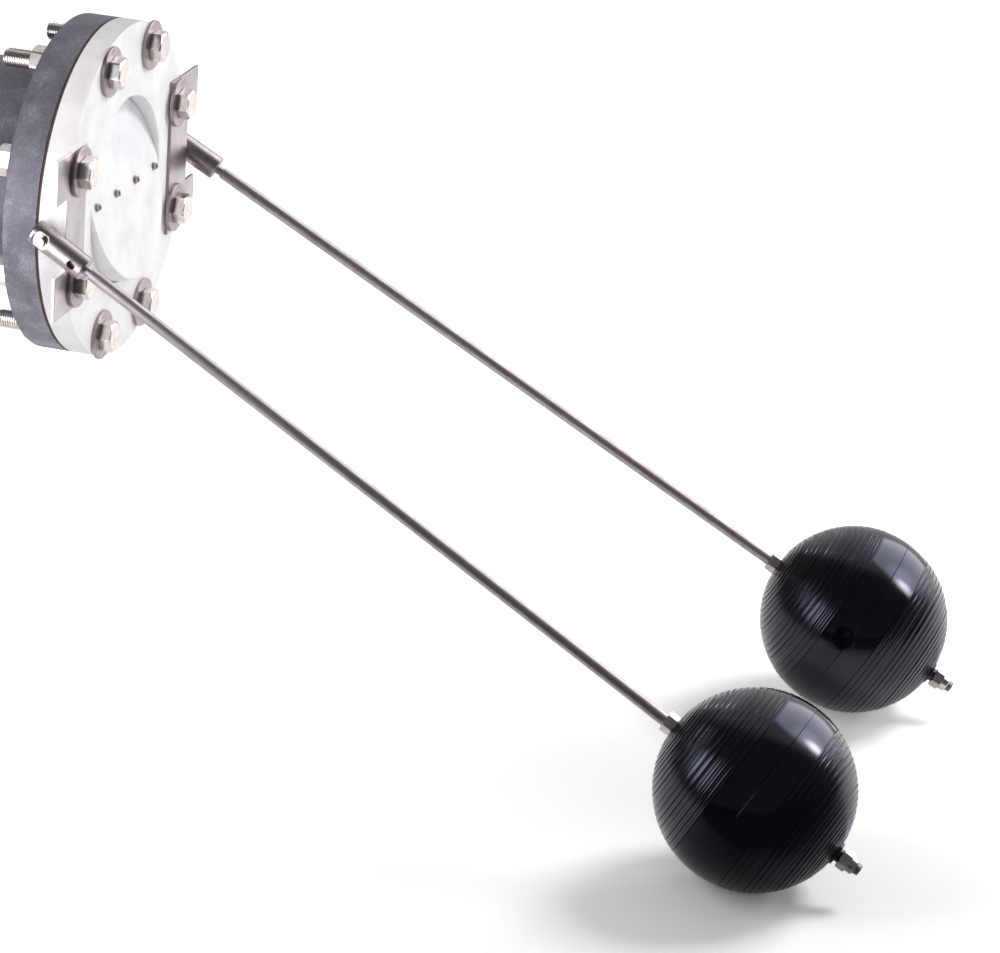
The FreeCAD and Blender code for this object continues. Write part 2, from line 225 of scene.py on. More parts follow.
def drawn(name: str, outline: Outline) -> Piece:
    """Draw an outline as a chain of edges.

    Args:
        name: The new piece's name.
        outline: Places along the X axis, each with a distance from the axis.

    Returns:
        A piece that holds only the chain, in the XZ plane.
    """
    bpy.ops.object.select_all(action="DESELECT")
    bpy.ops.mesh.primitive_plane_add(size=1, location=(0, 0, 0))
    piece = named(bpy.context.active_object, name)
    with editing(piece):
        bpy.ops.mesh.select_all(action="SELECT")
        bpy.ops.mesh.merge(type="CENTER")
        here = (0.0, 0.0)
        for number, place in enumerate(outline):
            step = {"value": (place[0] - here[0], 0, place[1] - here[1])}
            if number == 0:
                bpy.ops.transform.translate(**step)
            else:
                bpy.ops.mesh.extrude_vertices_move(TRANSFORM_OT_translate=step)
            here = place
    return piece


def close_up(piece: Piece, reach: float = 0.001) -> None:
    """Merge a piece's doubled points and turn its faces outwards.

    Args:
        piece: The piece.
        reach: How far apart doubled points may lie.
    """
    with editing(piece):
        bpy.ops.mesh.select_all(action="SELECT")
        bpy.ops.mesh.remove_doubles(threshold=reach)
        bpy.ops.mesh.normals_make_consistent(inside=False)


def turned(name: str, outline: Outline, steps: int = 64) -> Piece:
    """Turn an outline about the X axis, as on a lathe.

    Args:
        name: The new piece's name.
        outline: Places along the X axis, each with a radius.
        steps: How many flats go round.

    Returns:
        The turned piece.
    """
    piece = drawn(name, outline)
    with editing(piece):
        bpy.ops.mesh.select_all(action="SELECT")
        bpy.ops.mesh.spin(steps=steps, angle=FULL_TURN, center=(0, 0, 0), axis=(1, 0, 0))
    close_up(piece)
    return piece


def combined(piece: Piece, other: Piece, operation: str) -> None:
    """Combine two closed pieces into the first one and remove the second.

    Args:
        piece: The piece that is changed.
        other: The piece that it is combined with.
        operation: INTERSECT keeps what both hold, and UNION keeps all of both with no faces inside.
    """
    change = piece.modifiers.new("combined", "BOOLEAN")
    change.operation = operation
    change.object = other
    change.solver = "EXACT"
    select_only(piece)
    bpy.ops.object.modifier_apply(modifier=change.name)
    bpy.data.objects.remove(other)
    close_up(piece)


def hexagonal(name: str, width: float, envelope: Outline, corner_round: float = 0.5) -> Piece:
    """Cut a hexagonal bar to a turned outline, as nuts and bolt heads are.

    Args:
        name: The new piece's name.
        width: The size across the flats.
        envelope: The turned outline that the bar is kept inside.
        corner_round: How far the long edges are rounded.

    Returns:
        The piece, with one flat facing +Y.
    """
    spare = 1.0
    start = min(place[0] for place in envelope) - spare
    end = max(place[0] for place in envelope) + spare
    bpy.ops.object.select_all(action="DESELECT")
    bpy.ops.mesh.primitive_cylinder_add(
        vertices=6, radius=width / math.sqrt(3), depth=end - start,
        location=((start + end) / 2, 0, 0), rotation=(0, math.pi / 2, 0),
    )
    piece = named(bpy.context.active_object, name)
    bpy.ops.object.transform_apply(location=True, rotation=True, scale=True)
    corner = piece.data.vertices[0].co
    piece.data.transform(Matrix.Rotation(math.pi / 6 - math.atan2(corner.z, corner.y), 4, "X"))
    with editing(piece):
        select_edges(piece, lambda first, second: abs(first.x - second.x) > (end - start) / 2)
        bpy.ops.mesh.bevel(offset=corner_round, segments=2, affect="EDGES")
    combined(piece, turned(name + "_envelope", envelope), "INTERSECT")
    return piece


def threaded(
    name: str, diameter: float, pitch: float, start: float, end: float, lead: float, steps: int = 32,
) -> Piece:
    """Make a length of screw thread with flat ends and a tapered lead at its low end.

    Args:
        name: The new piece's name.
        diameter: The thread's outside diameter.
        pitch: The distance from one turn to the next.
        start: Where the thread's free end lies along the X axis.
        end: Where the thread's other end lies.
        lead: How far the free end's edge is turned down.
        steps: How many flats go round.

    Returns:
        The thread, closed at both ends.
    """
    crest = diameter / 2
    depth = THREAD_DEPTH * pitch
    first = start - pitch
    piece = drawn(name, [(first + along * pitch, crest - depth + up * depth) for along, up in THREAD_FORM])
    helix = piece.modifiers.new("helix", "SCREW")
    helix.axis = "X"
    helix.angle = FULL_TURN
    helix.screw_offset = pitch
    helix.iterations = math.ceil((end - start) / pitch) + 2
    helix.steps = helix.render_steps = steps
    select_only(piece)
    bpy.ops.object.modifier_apply(modifier=helix.name)
    close_up(piece)
    with editing(piece):
        for place, way in ((start, -1), (end, 1)):
            bpy.ops.mesh.select_all(action="SELECT")
            bpy.ops.mesh.bisect(plane_co=(place, 0, 0), plane_no=(way, 0, 0), use_fill=True, clear_outer=True)
    for point in piece.data.vertices:
        reach = math.hypot(point.co.y, point.co.z)
        limit = crest - lead + (point.co.x - start)
        if reach > limit:
            point.co.y *= limit / reach
            point.co.z *= limit / reach
    close_up(piece)
    return piece


def joined(name: str, *pieces: Piece) -> Piece:
    """Join pieces into one.

    Args:
        name: The joined piece's name.
        pieces: The pieces, of which the first takes in the rest.

    Returns:
        The joined piece.
    """
    select_only(*pieces)
    bpy.ops.object.join()
    return named(pieces[0], name)


def copied(piece: Piece, place: Matrix) -> Piece:
    """Copy a piece with its own mesh and put the copy in place.

    Args:
        piece: The piece, modelled at the origin.
        place: Where the copy goes, in millimetres.

    Returns:
        The copy, at the origin in metres with its place in its mesh.
    """
    select_only(piece)
    bpy.ops.object.duplicate(linked=False)
    copy = bpy.context.active_object
    copy.matrix_world = Matrix.Scale(MM, 4) @ place
    bpy.ops.object.transform_apply(location=True, rotation=True, scale=True)
    return copy


def hand_over(
    piece: Piece, node: str, body: Body, finish: "Finish", smooth: float = 20.0,
) -> None:
    """Shade, dress and report a new piece that stands for a node.

    Args:
        piece: The finished piece.
        node: The node that it stands for.
        body: The body that it rides on.
        finish: The piece's finish.
        smooth: The sharpest edge that is shaded as round, in degrees.
    """
    select_only(piece)
    bpy.ops.object.shade_smooth_by_angle(angle=math.radians(smooth))
    piece.data.materials.clear()
    piece.data.materials.append(finish.material())
    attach(piece, body.value)
    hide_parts(node)
    triangles = sum(len(face.vertices) - 2 for face in piece.data.polygons)
    log.info("%s: %d triangles, %s, stands for %s", piece.name, triangles, finish.name, node)


def dress_node(name: str, finish: "Finish") -> None:
    """Give a node its finish and report it.

    Args:
        name: The node.
        finish: Its finish.
    """
    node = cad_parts[name]
    material = finish.material()
    for place in range(len(node.data.materials)):
        node.data.materials[place] = material
    if not node.data.materials:
        node.data.materials.append(material)
    log.info("%s: %s", name, finish.name)


# Finishes

@dataclass(frozen=True)
class Finish(ABC):
    """A surface finish that becomes one procedural material.

    Lengths are in millimetres, except that a centre and the paper's places are in metres. Turns are in
    radians. A window is the part of a noise pattern's range that is used.
    """

    name: str

    @abstractmethod
    def dress(self, tree: Tree, place: Socket) -> Inputs:
        """Add the finish's own nodes.

        Args:
            tree: The material's node tree.
            place: Object coordinates, in metres.

        Returns:
            The surface shader's inputs.
        """

    def material(self) -> bpy.types.Material:
        """Give the finish's material, made on first use.

        Returns:
            The material, which has the finish's name.
        """
        made = bpy.data.materials.get(self.name)
        if made is not None and made.get("finish"):
            return made
        made = bpy.data.materials.new(self.name)
        made["finish"] = True
        made.use_nodes = True
        tree = made.node_tree
        tree.nodes.clear()
        place = add_node(tree, "TexCoord").outputs["Object"]
        shader = add_node(tree, "BsdfPrincipled", self.dress(tree, place))
        add_node(tree, "OutputMaterial", {"Surface": shader.outputs["BSDF"]})
        return made


@dataclass(frozen=True)
class StainlessSteel(Finish):
    """Stainless steel, satin from how it was worked.

    The grain shows as fine light and dark marks that run one way, and the gloss changes slightly from place
    to place.
    """

    light: str = "#cdc6c4"
    dark: str = "#a79e9c"
    grain: Grain = Grain.EVEN
    mark_width: float = 0.8
    mark_length: float = 40.0
    smudge: float = 18.0
    window: Pair = (0.65, 1.35)
    gloss: Pair = (0.24, 0.38)
    depth: float = 0.01
    centre: Triple = (0.0, 0.0, 0.0)
    turn: Triple = (0.0, 0.0, 0.0)

    def dress(self, tree: Tree, place: Socket) -> Inputs:
        """Add marks that follow the grain, and broad smudges.

        Args:
            tree: The material's node tree.
            place: Object coordinates, in metres.

        Returns:
            The surface shader's inputs.
        """
        sizes = self.grain.stretch(self.mark_width * MM, self.mark_length * MM)
        along = add_node(tree, "Mapping", {
            "Vector": place, "Location": self.centre, "Rotation": self.turn, "Scale": sizes,
        }, vector_type="TEXTURE").outputs["Vector"]
        marks = add_node(tree, "TexNoise", {
            "Vector": along, "Scale": 1.0, "Detail": 4.0, "Roughness": 0.6,
        }).outputs["Fac"]
        smudges = add_node(tree, "TexNoise", {
            "Vector": place, "Scale": 1 / (self.smudge * MM), "Detail": 3.0, "Roughness": 0.55,
        }).outputs["Fac"]
        mixed = add_node(tree, "Math", {0: marks, 1: smudges}, operation="ADD").outputs[0]
        share = add_node(tree, "MapRange", {"Value": mixed, **span("From", self.window)}).outputs["Result"]
        colour = add_node(tree, "Mix", {
            0: share, 6: linear(self.dark), 7: linear(self.light),
        }, data_type="RGBA").outputs[2]
        rough = add_node(tree, "MapRange", {
            "Value": share, "To Min": self.gloss[1], "To Max": self.gloss[0],
        }).outputs["Result"]
        relief = add_node(tree, "Bump", {
            "Height": marks, "Strength": 1.0, "Distance": self.depth * MM,
        }).outputs["Normal"]
        return {"Base Color": colour, "Roughness": rough, "Normal": relief, "Metallic": 1.0}


@dataclass(frozen=True)
class CutSheet(StainlessSteel):
    """Stainless sheet, cut to shape.

    Its face keeps the rolled grain, and its cut edge is matt, in a colour that is painted light: a pale edge
    is a painted highlight, and a dark one is painted shade.
    """

    face: float = 63.525
    edge_band: Pair = (0.25, 0.15)
    # The cut edge's colour, which is painted light: by default a pale painted highlight
    edge: str = "#e9e6e6"
    edge_metal: float = 0.2

    def dress(self, tree: Tree, place: Socket) -> Inputs:
        """Add the sheet's grain, and the cut edge below its face.

        Args:
            tree: The material's node tree.
            place: Object coordinates, in metres.

        Returns:
            The surface shader's inputs.
        """
        inputs = super().dress(tree, place)
        depth = add_node(tree, "SeparateXYZ", {"Vector": place}).outputs["X"]
        low, high = ((self.face - below) * MM for below in self.edge_band)
        on_face = add_node(tree, "MapRange", {
            "Value": depth, "From Min": low, "From Max": high,
        }).outputs["Result"]
        inputs["Base Color"] = add_node(tree, "Mix", {
            0: on_face, 6: linear(self.edge), 7: inputs["Base Color"],
        }, data_type="RGBA").outputs[2]
        inputs["Metallic"] = add_node(tree, "MapRange", {
            "Value": on_face, "To Min": self.edge_metal,
        }).outputs["Result"]
        return inputs


@dataclass(frozen=True)
class MouldedPvc(Finish):
    """Grey PVC, moulded and handled.

    The pigment is cloudy, pale specks show in it, and the rim has light scuffs from lying about. It is paler
    and more scuffed towards the bottom.
    """

    grey: str = "#7f7c87"
    slate: str = "#575662"
    scuff: str = "#a2a1ac"
    cloud: float = 26.0
    cloud_window: Pair = (0.38, 0.82)
    speck: float = 1.6
    speck_window: Pair = (0.53, 0.72)
    speck_share: float = 0.5
    scuff_size: Pair = (16.0, 1.4)
    scuff_slant: Triple = (0.5, 0.2, 0.3)
    scuff_window: Pair = (0.31, 0.45)
    scuff_share: float = 0.8
    # How far the ramp down the height reaches, how much it adds, and its weight against the clouds
    paling_height: float = 90.0
    dust_share: float = 0.08
    paling_weight: float = 2.5
    gloss_window: Pair = (0.3, 0.7)
    gloss: Pair = (0.42, 0.58)
    depth: float = 0.05

    def dress(self, tree: Tree, place: Socket) -> Inputs:
        """Add clouds, dust, specks and scuffs.

        Args:
            tree: The material's node tree.
            place: Object coordinates, in metres.

        Returns:
            The surface shader's inputs.
        """
        clouds = add_node(tree, "TexNoise", {
            "Vector": place, "Scale": 1 / (self.cloud * MM), "Detail": 5.0, "Roughness": 0.6,
            "Distortion": 0.4,
        }).outputs["Fac"]
        # A ramp down the height makes it paler and more scuffed towards the bottom
        height = add_node(tree, "SeparateXYZ", {"Vector": place}).outputs["Z"]
        dust = add_node(tree, "MapRange", {
            "Value": height, "From Min": self.paling_height * MM, "From Max": -self.paling_height * MM,
            "To Max": self.dust_share,
        }).outputs["Result"]
        dusty = add_node(tree, "Math", {
            0: dust, 1: self.paling_weight, 2: clouds,
        }, operation="MULTIPLY_ADD").outputs[0]
        cloudy = add_node(tree, "MapRange", {
            "Value": dusty, **span("From", self.cloud_window),
        }).outputs["Result"]
        specks = add_node(tree, "TexNoise", {
            "Vector": place, "Scale": 1 / (self.speck * MM), "Detail": 3.0, "Roughness": 0.7,
        }).outputs["Fac"]
        speckled = add_node(tree, "MapRange", {
            "Value": specks, **span("From", self.speck_window), "To Max": self.speck_share,
        }).outputs["Result"]
        length, width = (size * MM for size in self.scuff_size)
        slanted = add_node(tree, "Mapping", {
            "Vector": place, "Rotation": self.scuff_slant, "Scale": (width, length, width),
        }, vector_type="TEXTURE").outputs["Vector"]
        scratches = add_node(tree, "TexNoise", {
            "Vector": slanted, "Scale": 1.0, "Detail": 4.0, "Roughness": 0.65, "Distortion": 0.6,
        }).outputs["Fac"]
        worn = add_node(tree, "Math", {
            0: scratches, 1: clouds, 2: dust,
        }, operation="MULTIPLY_ADD").outputs[0]
        scuffed = add_node(tree, "MapRange", {
            "Value": worn, **span("From", self.scuff_window), "To Max": self.scuff_share,
        }).outputs["Result"]
        colour = linear(self.slate)
        for share, over in ((cloudy, self.grey), (speckled, self.scuff), (scuffed, self.scuff)):
            colour = add_node(tree, "Mix", {
                0: share, 6: colour, 7: linear(over),
            }, data_type="RGBA").outputs[2]
        rough = add_node(tree, "MapRange", {
            "Value": clouds, **span("From", self.gloss_window), **span("To", self.gloss),
        }).outputs["Result"]
        relief = add_node(tree, "Bump", {
            "Height": specks, "Strength": 1.0, "Distance": self.depth * MM,
        }).outputs["Normal"]
        return {"Base Color": colour, "Roughness": rough, "Normal": relief, "IOR": 1.53}


@dataclass(frozen=True)
class MachinedPolyethylene(Finish):
    """White polyethylene, faced and bored on a lathe.

    It is soft white with a dull gloss, and the tool leaves rings that catch the light very faintly.
    """

    white: str = "#f3f2f2"
    shade: str = "#e6e4e7"
    # The real tool rings are too fine to show, so these are drawn coarser.
    ring: float = 2.4
    smear: float = 34.0
    smear_window: Pair = (0.32, 0.6)
    gloss_window: Pair = (0.3, 0.7)
    gloss: Pair = (0.36, 0.5)
    depth: float = 0.012
    centre: Triple = (0.0, 0.0, 0.0)
    turn: Triple = (0.0, 0.0, 0.0)

    def dress(self, tree: Tree, place: Socket) -> Inputs:
        """Add tool rings and faint smears.

        Args:
            tree: The material's node tree.
            place: Object coordinates, in metres.

        Returns:
            The surface shader's inputs.
        """
        centred = add_node(tree, "Mapping", {
            "Vector": place, "Location": self.centre, "Rotation": self.turn,
        }, vector_type="TEXTURE").outputs["Vector"]
        rings = add_node(tree, "TexWave", {
            "Vector": centred, "Scale": RING_SPACING / (self.ring * MM), "Distortion": 0.6, "Detail": 2.0,
        }, wave_type="RINGS", rings_direction="X").outputs["Fac"]
        smears = add_node(tree, "TexNoise", {
            "Vector": place, "Scale": 1 / (self.smear * MM), "Detail": 4.0, "Roughness": 0.55,
        }).outputs["Fac"]
        share = add_node(tree, "MapRange", {
            "Value": smears, **span("From", self.smear_window),
        }).outputs["Result"]
        colour = add_node(tree, "Mix", {
            0: share, 6: linear(self.shade), 7: linear(self.white),
        }, data_type="RGBA").outputs[2]
        rough = add_node(tree, "MapRange", {
            "Value": smears, **span("From", self.gloss_window), **span("To", self.gloss),
        }).outputs["Result"]
        relief = add_node(tree, "Bump", {
            "Height": rings, "Strength": 1.0, "Distance": self.depth * MM,
        }).outputs["Normal"]
        return {"Base Color": colour, "Roughness": rough, "Normal": relief, "IOR": 1.54}


@dataclass(frozen=True)
class SheetRubber(Finish):
    """Dark sheet rubber, cut to shape.

    It is nearly black with a brown cast, dull, and slightly grainy at its cut edge.
    """

    black: str = "#3a2b26"
    brown: str = "#5b453a"
    grit: float = 1.2
    depth: float = 0.05

    def dress(self, tree: Tree, place: Socket) -> Inputs:
        """Add grit to the colour and the surface.

        Args:
            tree: The material's node tree.
            place: Object coordinates, in metres.

        Returns:
            The surface shader's inputs.
        """
        grit = add_node(tree, "TexNoise", {
            "Vector": place, "Scale": 1 / (self.grit * MM), "Detail": 3.0,
        }).outputs["Fac"]
        colour = add_node(tree, "Mix", {
            0: grit, 6: linear(self.black), 7: linear(self.brown),
        }, data_type="RGBA").outputs[2]
        relief = add_node(tree, "Bump", {
            "Height": grit, "Strength": 1.0, "Distance": self.depth * MM,
        }).outputs["Normal"]
        return {"Base Color": colour, "Normal": relief, "Roughness": 0.75}


@dataclass(frozen=True)
class GlossyPolyethylene(Finish):
    """Black polyethylene, moulded glossy and lightly handled.

    It is deep black with a wet gloss that is broken by hairline scratches and a little dust. The plain belt
    round the middle is glossier than the ringed skin.
    """

    black: str = "#040406"
    dust: str = "#16171d"
    tint: str = "#e2e4ff"
    mote: float = 0.9
    mote_window: Pair = (0.66, 0.78)
    dust_share: float = 0.5
    scratch: Pair = (30.0, 0.5)
    scratch_slant: Triple = (0.3, 0.9, 0.7)
    scratch_depth: float = 0.004
    wave: float = 16.0
    wave_depth: float = 0.05
    wear_window: Pair = (0.2, 0.42)
    gloss_change: float = 0.07
    belt: float = 26.0
    belt_edge: float = 2.0
    belt_gloss: float = 0.09
    ring_gloss: float = 0.18
    centre: Triple = (0.0, 0.0, 0.0)
    turn: Triple = (0.0, 0.0, 0.0)

    def dress(self, tree: Tree, place: Socket) -> Inputs:
        """Add dust, scratches and a slightly wavy skin.

        Args:
            tree: The material's node tree.
            place: Object coordinates, in metres.

        Returns:
            The surface shader's inputs.
        """
        motes = add_node(tree, "TexNoise", {
            "Vector": place, "Scale": 1 / (self.mote * MM), "Detail": 2.0,
        }).outputs["Fac"]
        dusty = add_node(tree, "MapRange", {
            "Value": motes, **span("From", self.mote_window), "To Max": self.dust_share,
        }).outputs["Result"]
        colour = add_node(tree, "Mix", {
            0: dusty, 6: linear(self.black), 7: linear(self.dust),
        }, data_type="RGBA").outputs[2]
        length, width = (size * MM for size in self.scratch)
        slanted = add_node(tree, "Mapping", {
            "Vector": place, "Rotation": self.scratch_slant, "Scale": (length, width, width),
        }, vector_type="TEXTURE").outputs["Vector"]
        hairlines = add_node(tree, "TexNoise", {
            "Vector": slanted, "Scale": 1.0, "Detail": 3.0, "Roughness": 0.6,
        }).outputs["Fac"]
        waves = add_node(tree, "TexNoise", {
            "Vector": place, "Scale": 1 / (self.wave * MM), "Detail": 2.0,
        }).outputs["Fac"]
        worn = add_node(tree, "Math", {0: hairlines, 1: waves}, operation="MULTIPLY").outputs[0]
        wear = add_node(tree, "MapRange", {
            "Value": worn, **span("From", self.wear_window), "To Max": self.gloss_change,
        }).outputs["Result"]
        local = add_node(tree, "Mapping", {
            "Vector": place, "Location": self.centre, "Rotation": self.turn,
        }, vector_type="TEXTURE").outputs["Vector"]
        along = add_node(tree, "SeparateXYZ", {"Vector": local}).outputs["X"]
        off_middle = add_node(tree, "Math", {0: along}, operation="ABSOLUTE").outputs[0]
        zone = add_node(tree, "MapRange", {
            "Value": off_middle, "From Min": (self.belt - self.belt_edge) * MM,
            "From Max": (self.belt + self.belt_edge) * MM,
            "To Min": self.belt_gloss, "To Max": self.ring_gloss,
        }).outputs["Result"]
        rough = add_node(tree, "Math", {0: zone, 1: wear}, operation="ADD").outputs[0]
        wavy = add_node(tree, "Bump", {
            "Height": waves, "Strength": 1.0, "Distance": self.wave_depth * MM,
        }).outputs["Normal"]
        relief = add_node(tree, "Bump", {
            "Height": hairlines, "Strength": 1.0, "Distance": self.scratch_depth * MM, "Normal": wavy,
        }).outputs["Normal"]
        return {
            "Base Color": colour, "Roughness": rough, "Normal": relief, "IOR": 1.51,
            "Specular Tint": linear(self.tint),
        }


@dataclass(frozen=True)
class NaturalNylon(Finish):
    """Undyed nylon, moulded: off-white, slightly uneven and dull."""

    pale: str = "#dcdad2"
    dark: str = "#c5c2b8"
    cloud: float = 3.0
    gloss: Pair = (0.4, 0.55)

    def dress(self, tree: Tree, place: Socket) -> Inputs:
        """Add faint clouds to the colour and the gloss.

        Args:
            tree: The material's node tree.
            place: Object coordinates, in metres.

        Returns:
            The surface shader's inputs.
        """
        clouds = add_node(tree, "TexNoise", {
            "Vector": place, "Scale": 1 / (self.cloud * MM),
        }).outputs["Fac"]
        colour = add_node(tree, "Mix", {
            0: clouds, 6: linear(self.dark), 7: linear(self.pale),
        }, data_type="RGBA").outputs[2]
        rough = add_node(tree, "MapRange", {"Value": clouds, **span("To", self.gloss)}).outputs["Result"]
        return {"Base Color": colour, "Roughness": rough}


@dataclass(frozen=True)
class StudioPaper(Finish):
    """White background paper: matt, with a very faint tooth.

    The gain makes it whiter where it is seen, with its shadows, and the lift keeps it white far from the
    lamps. Shiny pieces mirror part of both, and a dimmed sheet in front.
    """

    white: str = "#fbfafb"
    grey: str = "#4e4d54"
    tooth: float = 3.0
    dull: Pair = (0.9, 1.0)
    gain: float = 0.34
    lift: float = 0.75
    middle: Triple = (0.71, -0.34, 0.0)
    fade: Pair = (0.25, 1.2)
    mirrored: float = 0.4
    front_way: Triple = (0.55, -0.835, 0.0)
    front: Pair = (0.58, 0.8)

    def dress(self, tree: Tree, place: Socket) -> Inputs:
        """Add the tooth, whiten the paper where it is seen, and dim its mirror image in front.

        Args:
            tree: The material's node tree.
            place: Object coordinates, in metres.

        Returns:
            The surface shader's inputs.
        """
        tooth = add_node(tree, "TexNoise", {"Vector": place, "Scale": 1 / (self.tooth * MM)}).outputs["Fac"]
        rough = add_node(tree, "MapRange", {"Value": tooth, **span("To", self.dull)}).outputs["Result"]
        path = add_node(tree, "LightPath")
        forward = add_node(tree, "VectorMath", {
            0: place, 1: self.front_way,
        }, operation="DOT_PRODUCT").outputs["Value"]
        dim = add_node(tree, "MapRange", {
            "Value": forward, **span("From", self.front), "To Max": path.outputs["Is Glossy Ray"],
        }).outputs["Result"]
        behind = add_node(tree, "Math", {
            0: path.outputs["Is Glossy Ray"], 1: dim,
        }, operation="SUBTRACT").outputs[0]
        seen = add_node(tree, "Math", {
            0: behind, 1: self.mirrored, 2: path.outputs["Is Camera Ray"],
        }, operation="MULTIPLY_ADD").outputs[0]
        paper = add_node(tree, "Mix", {
            0: dim, 6: linear(self.white), 7: linear(self.grey),
        }, data_type="RGBA").outputs[2]
        brighter = add_node(tree, "Math", {
            0: seen, 1: self.gain, 2: 1.0,
        }, operation="MULTIPLY_ADD").outputs[0]
        colour = add_node(tree, "VectorMath", {
            0: paper, "Scale": brighter,
        }, operation="SCALE").outputs["Vector"]
        across = add_node(tree, "VectorMath", {
            0: place, 1: (1, 1, 0),
        }, operation="MULTIPLY").outputs["Vector"]
        away = add_node(tree, "VectorMath", {
            0: across, 1: self.middle,
        }, operation="DISTANCE").outputs["Value"]
        far_lift = add_node(tree, "MapRange", {
            "Value": away, **span("From", self.fade), "To Max": self.lift,
        }, interpolation_type="SMOOTHSTEP").outputs["Result"]
        glow = add_node(tree, "Math", {0: seen, 1: far_lift}, operation="MULTIPLY").outputs[0]
        return {
            "Base Color": colour, "Roughness": rough, "Specular IOR Level": 0.0,
            "Emission Color": linear(self.white), "Emission Strength": glow,
        }


# Sub-assemblies, with their sizes in millimetres and their angles in degrees

@dataclass
class PipeFlange:
    """The grey pipe flange with its socket hub, and the gasket on its face."""

    # Satin grey, cloudy and scuffed
    pvc: MouldedPvc = MouldedPvc("Moulded grey PVC")
    # A dull dark line between flange and body
    rubber: SheetRubber = SheetRubber("Sheet rubber")

    def dress(self) -> None:
        """Give the flange and the gasket their finishes."""
        dress_node("pipe_flange", self.pvc)
        dress_node("flange_gasket", self.rubber)


@dataclass
class ValveBody:
    """The white plate with the valve bore, and the two stop plates on it."""

    # Soft white, with tool rings about the bore
    plastic: MachinedPolyethylene = MachinedPolyethylene("Machined white polyethylene")
    # Each plate's cut edge colour is painted light: painted shade on the left plate, a painted highlight on
    # the right
    edges: tuple[tuple[Side, str], ...] = ((Side.LEFT, "#8f8785"), (Side.RIGHT, "#f2f0f0"))

    def dress(self) -> None:
        """Give the body and the plates their finishes."""
        dress_node("valve_body", self.plastic)
        for side, edge in self.edges:
            # Long faint streaks from the rolls, on a face that mirrors softly
            dress_node("stop_plate_" + side.label, CutSheet(
                f"Rolled stainless sheet {side.label}", light="#c6bfc1", dark="#a9a2a4", grain=Grain.ROLLED,
                mark_width=0.7, mark_length=60.0, smudge=30.0, gloss=(0.26, 0.38), depth=0.006, edge=edge,
            ))


